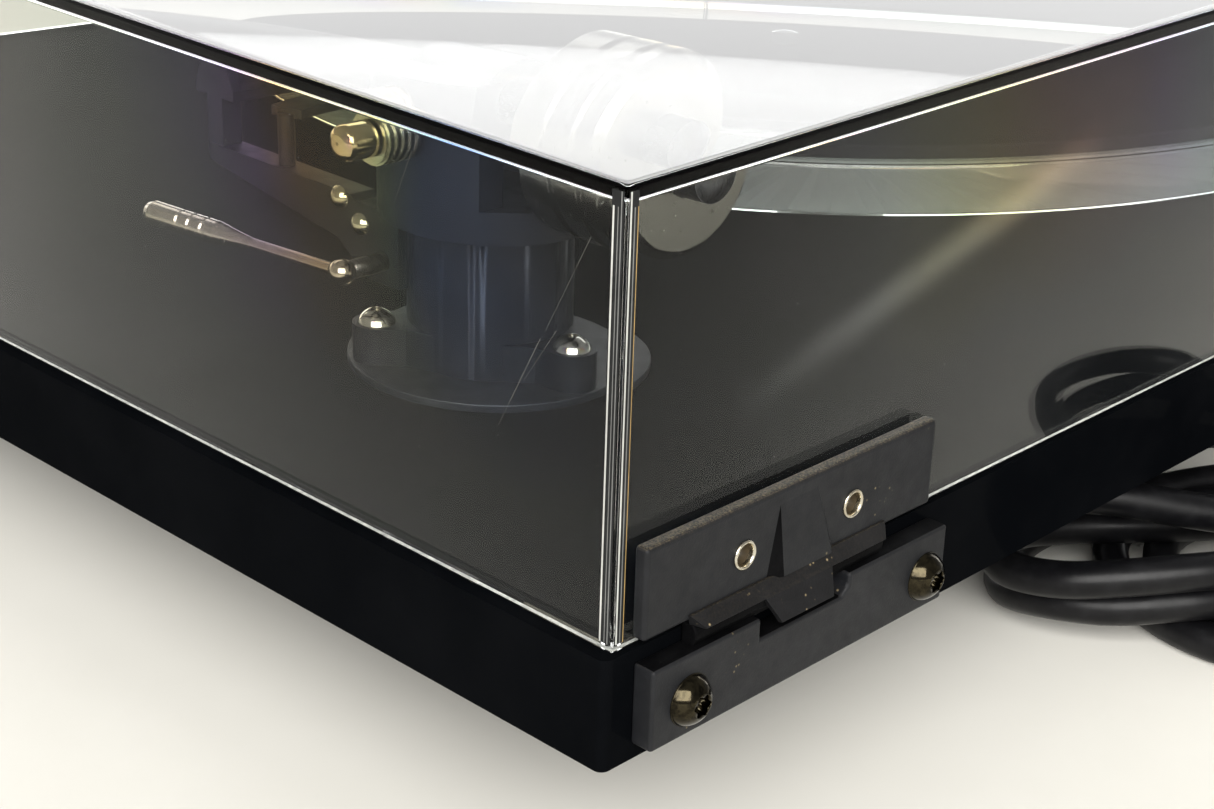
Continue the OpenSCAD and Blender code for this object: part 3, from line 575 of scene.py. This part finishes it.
def lay_lead():
    """The lead in its loops on the table, and the two tails from the splitter to the plugs."""
    line = smooth_line(metres(LEAD), 5)
    lead = cable("signal_lead_cable", line, LEAD_D, "lead_jacket", "signal_lead")
    place = end_frame() @ Matrix.Translation((SPLITTER_LEN, 0, 0))
    for name, side in (("tail_a", 1), ("tail_b", -1)):
        path = smooth_line([place @ Vector((p.x, side * p.y, p.z)) for p in metres(TAIL)], 6)
        cable(name, path, TAIL_D, "lead_jacket")
    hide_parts("plug_tails")


lay_lead()

# ---------- CAD nodes that keep their shape ----------
dress("lacquer", "lacquered_board", "plinth", edge=0.9 * MM)
dress("foot", "foot_rubber", "foot_front_left", "foot_front_right", "foot_rear", edge=0.4 * MM)
dress("steel", "steel_screw", "foot_screws", "motor_screws", "bearing_nut", "arm_nut", edge=0.2 * MM)
dress("bright", "bright_screw", "arm_base_screws", "bracket_screws", "cartridge_screws", edge=0.12 * MM)
dress("steel", "hinge_pin_steel", "hinge_pins")
dress("brass", "bearing_brass", "bearing_housing", edge=0.3 * MM)
dress("ground", "hard_steel", "bearing_ball", "spindle", "motor_shaft", "arm_bearings", "arm_spindle",
      "pivot_axle")
dress("sub_platter", "sub_platter_plastic", "sub_platter", edge=0.3 * MM)
dress("glass", "platter_glass", "glass_platter", edge=0.7 * MM)
dress("felt", "mat_felt", "platter_mat", edge=0.5 * MM)
dress("belt", "belt_rubber", "drive_belt")
dress("motor", "motor_can", "motor_body", edge=0.5 * MM)
dress("steel", "sheet_steel", "motor_plate", edge=0.2 * MM)
dress("aluminium", "turned_aluminium", "motor_pulley", edge=0.15 * MM)
dress("case", "case_plastic", "belly_cover", "switch_housing", edge=0.5 * MM)
dress("board", "board_green", "circuit_board", edge=0.15 * MM)
dress("socket", "socket_plastic", "power_socket", edge=0.2 * MM)
dress("rocker", "rocker_plastic", "switch_rocker", edge=0.3 * MM)
dress("arm", "arm_black", "arm_base", "lift_bracket", "arm_yoke", "headshell", "finger_lift", edge=0.35 * MM)
dress("spacer", "spacer_black", "arm_spacer", "lift_platform", edge=0.25 * MM)
dress("dark_shaft", "shaft_dark", "rear_shaft", edge=0.2 * MM)
dress("lever", "lever_metal", "lift_lever", "bias_dial")
dress("cap", "polished_cap", "pivot_caps", edge=0.2 * MM)
dress("tube", "tube_black", "arm_tube", edge=0.3 * MM)
dress("cartridge", "cartridge_plastic", "cartridge_body", edge=0.4 * MM)
dress("stylus", "stylus_red", "stylus_unit", edge=0.15 * MM)
dress("weight", "weight_steel", "counterweight", edge=0.15 * MM)
dress("case", "gland_plastic", "lead_gland", "lead_splitter", edge=0.4 * MM)
dress("plug", "plug_metal", "plug_a", "plug_b", edge=0.2 * MM)


# ---------- hinges, in millimetres from the board's lower rear corner ----------
EYELETS = [(-26.1, 26.4), (-50.7, 26.4)]
HINGE_SCREWS = [(-13.5, 8.5), (-68.3, 8.5)]
UPPER_FACE = 2.05
LOWER_FACE = 4
HEAD_R, HEAD_HIGH = 4.1, 3.0
HOLE_SIDES = 32
OUTWARD = Matrix.Rotation(math.radians(-90), 4, "X")


def at_hinge(side):
    """Local frame of a hinge: X out of the corner, Y back, Z up. The left one is mirrored."""
    return (Matrix.Translation((side * 0.2235, 0.1736, 0.031)) @ Matrix.Diagonal((side, 1, 1, 1))
            @ Matrix.Scale(MM, 4))


def plate(bm, place, outline, holes, low, high, edge):
    """A flat plate in X and Z, from y = low to y = high, with round holes and rounded outer edges."""
    turns = [2 * math.pi * k / HOLE_SIDES for k in range(HOLE_SIDES)]
    rings = [outline] + [[(x + r * math.cos(a), z + r * math.sin(a)) for a in turns] for x, z, r in holes]
    edges = []
    for ring in rings:
        verts = [bm.verts.new(place @ Vector((x, high, z))) for x, z in ring]
        edges += [bm.edges.new((a, b)) for a, b in zip(verts, verts[1:] + verts[:1])]
    faces = [f for f in bmesh.ops.triangle_fill(bm, use_beauty=True, edges=edges)["geom"]
             if isinstance(f, bmesh.types.BMFace)]
    copy = bmesh.ops.extrude_face_region(bm, geom=faces, use_keep_orig=True)["geom"]
    shift = (place @ Vector((0, low, 0))) - (place @ Vector((0, high, 0)))
    bmesh.ops.translate(bm, verts=[v for v in copy if isinstance(v, bmesh.types.BMVert)], vec=shift)
    bmesh.ops.recalc_face_normals(bm, faces=bm.faces)
    spots = [place @ Vector((x, 0, z)) for x, z in outline]

    def on_outline(vert):
        return any(abs(vert.co.x - p.x) < 1e-6 and abs(vert.co.z - p.z) < 1e-6 for p in spots)

    corners = [e for e in bm.edges if len(e.link_faces) == 2 and all(on_outline(v) for v in e.verts)
               and e.calc_face_angle() > 0.5]
    bmesh.ops.bevel(bm, geom=corners, offset=edge * MM, segments=4, profile=0.5, affect="EDGES",
                    clamp_overlap=True)


def bar(bm, place, outline, left, right):
    """A prism along X. left and right give the X of each (y, z) corner, or one X for all."""
    count = len(outline)
    left = [left] * count if isinstance(left, (int, float)) else left
    right = [right] * count if isinstance(right, (int, float)) else right
    a = [bm.verts.new(place @ Vector((x, y, z))) for x, (y, z) in zip(left, outline)]
    b = [bm.verts.new(place @ Vector((x, y, z))) for x, (y, z) in zip(right, outline)]
    bm.faces.new(a)
    bm.faces.new(b[::-1])
    for k in range(count):
        j = (k + 1) % count
        bm.faces.new((a[k], b[k], b[j], a[j]))


def wedge(bm, place, corners, quads):
    """A closed solid from its corners. Returns its faces in the order given."""
    verts = [bm.verts.new(place @ Vector(c)) for c in corners]
    return [bm.faces.new([verts[i] for i in quad]) for quad in quads]


def upper_leaf(place, tag):
    """The leaf on the cover, and the ramp that stiffens it: flush at the top, proud at the bottom. One flank
    of the ramp is painted near-black as shade.
    """
    bm = bmesh.new()
    plate(bm, place, [(-70.8, 19.8), (-5.5, 19.8), (-5.5, 34.3), (-70.8, 34.3)],
          [(x, z, 2.06) for x, z in EYELETS], -0.45, UPPER_FACE, 0.75)
    flat_piece(bm, "upper_leaf_" + tag, "hinge", "hinge_plastic", "cover", "hinge_upper_" + tag)
    bm = bmesh.new()
    flush, proud = 2.0, 3.1
    faces = wedge(bm, place, [(-33.6, flush, 32.4), (-42, flush, 32.6), (-46.6, flush, 20.4),
                              (-31.2, flush, 20.4), (-34.2, proud, 20.4), (-45.2, proud, 20.4)],
                  [(0, 1, 5, 4), (0, 4, 3), (1, 2, 5), (3, 4, 5, 2), (0, 3, 2, 1)])
    # The ramp's left flank takes the near-black material: painted shade.
    painted_shade_flank = faces[1]
    painted_shade_flank.material_index = 1
    ramp = flat_piece(bm, "ramp_" + tag, "hinge", "hinge_plastic", "cover")
    ramp.data.materials.append(MATS["shade"])


def hinge_strip(place, tag):
    """The shroud strip with slanted ends, and the tongue that stops the cover."""
    bm = bmesh.new()
    bar(bm, place, [(1.9, 20.9), (2.4, 20.9), (2.55, 20.75), (4, 18.8), (3.4, 18.5), (1.9, 19.2)],
        [-14.6, -14.6, -14.7, -16.6, -16.6, -15], [-58.8, -58.8, -58.7, -57.4, -57.4, -58.4])
    bar(bm, place, [(3, 20), (4.05, 18.8), (5.85, 15), (5, 14.7), (3.3, 18.4)],
        [-29.2, -29.2, -31.2, -31.2, -29.4], [-44.4, -44.4, -43, -43, -44.2])
    strip = flat_piece(bm, "hinge_strip_" + tag, "strip", "hinge_plastic", "cover")
    soften(strip, 0.1 * MM, 32, 2)


def lower_leaf(place, tag):
    """The leaf on the board, with the notch for the tongue, and the row of knuckles behind the strip. The
    leaf's top faces and the whole knuckle row are painted near-black as shade.
    """
    bm = bmesh.new()
    plate(bm, place, [(-73.4, 2.8), (-5.7, 2.8), (-5.7, 15.9), (-28.6, 15.9), (-28.6, 12.5), (-47.3, 12.5),
                      (-48.9, 13.9), (-48.9, 15.9), (-73.4, 15.9)], [], 0, LOWER_FACE, 0.55)
    leaf = flat_piece(bm, "lower_leaf_" + tag, "leaf", "hinge_plastic", "plinth", "hinge_lower_" + tag)
    leaf.data.materials.append(MATS["shade"])
    # Faces that look up take the near-black material: painted shade on the leaf's top.
    for face in leaf.data.polygons:
        face.material_index = 1 if face.normal.z > 0.95 else 0
    bm = bmesh.new()
    # The knuckle row is a near-black barrel: painted shade in the gap under the strip.
    bar(bm, place, [(0.3, 15.6), (0.3, 19.2), (2.4, 19.2), (3.1, 18.2), (3.1, 17), (2.4, 15.6)], -15.2, -58)
    knuckles = flat_piece(bm, "knuckle_row_" + tag, "shade", "hinge_plastic", "plinth")
    soften(knuckles, 0.3 * MM)


def screw_heads(place, tag, stands_for):
    """Domed heads with a six-lobe recess."""
    ball = (HEAD_R ** 2 + HEAD_HIGH ** 2) / (2 * HEAD_HIGH)
    rim = math.asin(HEAD_R / ball)
    slopes = [rim * (1 - k / 20) for k in range(16)]
    dome = [(ball * math.sin(t), HEAD_HIGH - ball + ball * math.cos(t)) for t in slopes]
    dome = [(r, z) for r, z in dome if r > 1.95]
    recess = [(1.9, 2.57), (1.62, 2.62), (1.58, 2.5), (1.54, 2.2), (1.5, 1.2), (0.9, 0.9), (0, 0.8)]
    lobe_depth, lobe_turn = 0.15, 0.35

    def lobed(angle, r):
        return r * (1 + lobe_depth * math.cos(6 * angle + lobe_turn)) if r < 1.7 else r

    bm = bmesh.new()
    for x, z in HINGE_SCREWS:
        lathe(bm, [(HEAD_R - 0.08, 0), (HEAD_R, 0.12)] + dome + recess,
              place @ Matrix.Translation((x, LOWER_FACE, z)) @ OUTWARD, 72, lobed)
    smooth_piece(bm, "hinge_screws_" + tag, "hinge_screw", "dark_screw", "plinth", *stands_for)


def hollow_eyelets(place, tag, stands_for):
    """Rolled rims, and a bore painted dark from 0.2 mm down as shade in the hole."""
    rim = [(2.28, 0), (2.34, 0.1), (2.26, 0.3), (2.1, 0.4), (1.92, 0.38), (1.8, 0.24), (1.74, 0),
           (1.68, -0.5), (1.5, -1.5), (1.1, -2), (0, -2.1)]
    bm = bmesh.new()
    for x, z in EYELETS:
        lathe(bm, rim, place @ Matrix.Translation((x, UPPER_FACE, z)) @ OUTWARD, 56)
    rims = smooth_piece(bm, "eyelets_" + tag, "eyelet", "eyelet_nickel", "cover", *stands_for)
    rims.data.materials.append(MATS["bore"])
    # Faces deeper than 0.2 mm take the darker bore material: painted shade in the hole.
    dark_below = (place @ Vector((0, UPPER_FACE - 0.2, 0))).y
    for face in rims.data.polygons:
        first = rims.data.vertices[face.vertices[0]]
        face.material_index = 1 if first.co.y < dark_below else 0


def hinge(side, tag):
    """One hinge. The CAD has one node for both hinges' screws and one for the eyelets, so the
    right hinge's pieces stand for them."""
    place = at_hinge(side)
    upper_leaf(place, tag)
    hinge_strip(place, tag)
    lower_leaf(place, tag)
    screw_heads(place, tag, ["hinge_screws"] if side > 0 else [])
    hollow_eyelets(place, tag, ["cover_eyelets"] if side > 0 else [])


hinge(1, "right")
hinge(-1, "left")


# ---------- cover ----------
def ring_of(w, d, r, z, mid_y, steps):
    """A rounded rectangle's corner points, in order, at height z."""
    points = []
    for cx, cy, start in ((1, 1, 0), (-1, 1, 90), (-1, -1, 180), (1, -1, 270)):
        for k in range(steps + 1):
            a = math.radians(start + 90 * k / steps)
            x = cx * (w / 2 - r) + r * math.cos(a)
            y = mid_y + cy * (d / 2 - r) + r * math.sin(a)
            points.append(Vector((x, y, z)))
    return points


def clear_cover():
    """A five-sided box of clear sheet: the top panel, the walls and the sawn rim have their own finish."""
    low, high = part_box("cover")
    w, d = high.x - low.x, high.y - low.y
    mid_y = (low.y + high.y) / 2
    wall, steps, round_top, inner_top = 3 * MM, 6, 0.7 * MM, 0.5 * MM
    outer_r, inner_r = 0.5 * MM, 0.9 * MM
    finishes = ("walls", "top", "rim")
    bm = bmesh.new()
    rows = []

    def add(inset, z, r):
        ring = ring_of(w - 2 * inset, d - 2 * inset, r, z, mid_y, steps)
        rows.append([bm.verts.new(p) for p in ring])

    def join(a, b, finish):
        n = len(rows[a])
        for k in range(n):
            face = bm.faces.new((rows[a][k], rows[a][(k + 1) % n], rows[b][(k + 1) % n], rows[b][k]))
            face.material_index = finishes.index(finish)

    # Rows across the lower rim, up the outside and over the rounded top edge
    add(wall, low.z, inner_r)
    add(1.7 * MM, low.z, 0.45 * MM)
    add(0.4 * MM, low.z, outer_r)
    add(0, low.z, outer_r)
    add(0, high.z - round_top, outer_r)
    for k in range(1, 5):
        a = math.radians(90 * k / 4)
        inset = round_top * (1 - math.cos(a))
        add(inset, high.z - round_top + round_top * math.sin(a), outer_r - 0.3 * inset)
    outer = len(rows) - 1
    # Rows up the inside
    add(wall, low.z, inner_r)
    ceiling = high.z - wall
    add(wall, ceiling - inner_top, inner_r)
    for k in range(1, 4):
        a = math.radians(90 * k / 3)
        add(wall + inner_top * (1 - math.cos(a)), ceiling - inner_top + inner_top * math.sin(a), inner_r)
    join(0, 1, "walls")
    join(1, 2, "rim")
    join(2, 3, "walls")
    for i in range(3, outer):
        join(i, i + 1, "walls")
    for i in range(outer + 1, len(rows) - 1):
        join(i, i + 1, "walls")
    for row in (outer, len(rows) - 1):
        bm.faces.new(rows[row]).material_index = finishes.index("top")
    cover = smooth_piece(bm, "clear_cover", None, "cover_acrylic", "cover", "cover")
    for finish in finishes:
        cover.data.materials.append(MATS[finish])
    split = cover.modifiers.new("split", "EDGE_SPLIT")
    split.split_angle = math.radians(40)


clear_cover()


def marks():
    """Fine scratches and settled specks on the outside of the cover's right and rear walls."""
    chance = random.Random(7)
    bm = bmesh.new()
    low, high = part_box("cover")

    def quad(center, a, b):
        bm.faces.new([bm.verts.new(center + p) for p in (a, b, -a, -b)])

    def scratch(start, end, width):
        start, end = Vector(start) * MM, Vector(end) * MM
        ahead = end - start
        normal = Vector((1, 0, 0)) if abs(ahead.x) < 1e-9 else Vector((0, 1, 0))
        wide = ahead.cross(normal).normalized() * width * MM / 2
        thin = wide * 0.4
        bm.faces.new([bm.verts.new(p) for p in (start + wide, end + thin, end - thin, start - wide)])

    proud = 0.01
    x, y = high.x / MM + proud, high.y / MM + proud
    scratch((x, 167, 109), (x, 159, 93.5), 0.05)
    scratch((x, 158, 92), (x, 150, 76.5), 0.06)
    scratch((x, 161, 94), (x, 155, 85), 0.04)
    scratch((x, 132, 112), (x, 128, 103), 0.03)
    scratch((150, y, 101), (143, y, 98.5), 0.03)
    for _ in range(120):
        size = chance.choice((0.04, 0.05, 0.05, 0.06, 0.09)) * MM
        long = size * chance.uniform(1, 2.2)
        turn = chance.uniform(0, math.pi)
        up = chance.uniform(low.z + 0.002, high.z - 0.002)
        if chance.random() < 0.5:
            spot = Vector((high.x + proud * MM, chance.uniform(0.0, high.y - 0.002), up))
            a = Vector((0, math.cos(turn), math.sin(turn)))
            b = Vector((0, -math.sin(turn), math.cos(turn)))
        else:
            spot = Vector((chance.uniform(0.06, high.x - 0.002), high.y + proud * MM, up))
            a = Vector((math.cos(turn), 0, math.sin(turn)))
            b = Vector((-math.sin(turn), 0, math.cos(turn)))
        quad(spot, a * long, b * size)
    flat_piece(bm, "cover_marks", "speck", "cover_acrylic", "cover")


marks()


def painted_corner_lines():
    """The upright corners: fine light and dark lines, painted highlights and painted dark refraction lines
    along the corners.

    Each line lies on the wall that faces X or Y, from near to far mm off the corner."""
    low, high = (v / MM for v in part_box("cover"))
    # Light strips are painted highlights; dark strips are painted dark lines of the corners' reflections and
    # refraction.
    lines = {"painted_dark_band": [("x", 0.5, 2.7), ("y", 0.5, 2.2)], "painted_glint": [("x", 2.2, 2.5), ("y", 0.65, 0.95)],
             "painted_dim_glint": [("x", 0.85, 1.05), ("x", 1.45, 1.6), ("y", 1.4, 1.6)],
             "painted_gold_band": [("y", 2.05, 2.2)]}
    for step, (key, strips) in enumerate(lines.items()):
        bm = bmesh.new()
        lift = 0.006 + 0.004 * step
        for sx, sy in ((1, 1), (-1, 1), (-1, -1), (1, -1)):
            cx = high.x if sx > 0 else low.x
            cy = high.y if sy > 0 else low.y
            for wall, near, far in strips:
                top = high.z - (0.9 if near < 1 else 3.1)
                spots = []
                for along, z in ((near, low.z + 1), (far, low.z + 1), (far, top), (near, top)):
                    spot = ((cx + sx * lift, cy - sy * along, z) if wall == "x"
                            else (cx - sx * along, cy + sy * lift, z))
                    spots.append(bm.verts.new(Vector(spot) * MM))
                bm.faces.new(spots)
        flat_piece(bm, "cover_" + key, key, "cover_acrylic", "cover")


painted_corner_lines()


def lift_shaft():
    """The lift's shaft with its bright ball, at the foot of the lever."""
    shaft_at = (0.157, 0.0703, 0.068)
    shaft_r, start, end = 1.75, 11.8, 22.4
    ball_r, ball_x = 2.45, 24.5
    along = Matrix.Translation(shaft_at) @ Matrix.Rotation(math.radians(90), 4, "Y") @ Matrix.Scale(MM, 4)
    bm = bmesh.new()
    lathe(bm, [(0, start), (shaft_r, start), (shaft_r, end), (shaft_r - 0.25, end + 0.2)], along, 40)
    smooth_piece(bm, "lift_shaft", "dark_shaft", "shaft_dark", "lever", "lever_shaft")
    bm = bmesh.new()
    turns = [math.radians(a) for a in range(0, 181, 9)]
    lathe(bm, [(ball_r * math.sin(t), ball_x - ball_r * math.cos(t)) for t in turns], along, 40)
    smooth_piece(bm, "lift_ball", "bright", "shaft_dark", "lever")


lift_shaft()


# ---------- stage and light ----------
def soft_box(name, size, place, target, radiance, color=(1, 1, 1), diffuse=True):
    """A rectangular lamp of an even radiance."""
    data = bpy.data.lights.new(name, "AREA")
    data.shape = "RECTANGLE"
    data.size, data.size_y = size
    data.energy = radiance * math.pi * size[0] * size[1]
    data.color = color
    obj = bpy.data.objects.new(name, data)
    bpy.context.scene.collection.objects.link(obj)
    obj.location = place
    obj.rotation_euler = (Vector(place) - Vector(target)).to_track_quat("Z", "Y").to_euler()
    obj.visible_camera = False
    obj.visible_diffuse = diffuse


def studio():
    """Pale floor, soft sky and two soft boxes."""
    bm = bmesh.new()
    bmesh.ops.create_grid(bm, x_segments=1, y_segments=1, size=4)
    floor = bpy.data.objects.new("floor", close_up(bm, "floor"))
    bpy.context.scene.collection.objects.link(floor)
    floor.data.materials.append(plain_paper())
    world = bpy.data.worlds.new("world")
    world.use_nodes = True
    sky = world.node_tree.nodes["Background"]
    sky.inputs["Color"].default_value = (1, 0.99, 0.97, 1)
    sky.inputs["Strength"].default_value = 0.36
    bpy.context.scene.world = world
    # One behind and to the left, mirrored in the cover's top; one behind the camera lights the table
    soft_box("back_box", (5.2, 2.0), (-1.55, -1.47, 1.0), (0, 0, 1.0), 3.4, diffuse=False)
    soft_box("front_box", (3.4, 2.2), (2.1, 2.0, 1.7), (0, 0, 0), 8.623, (1, 0.985, 0.955))
    view = bpy.context.scene.view_settings
    view.view_transform = "Standard"
    view.look = "None"


studio()
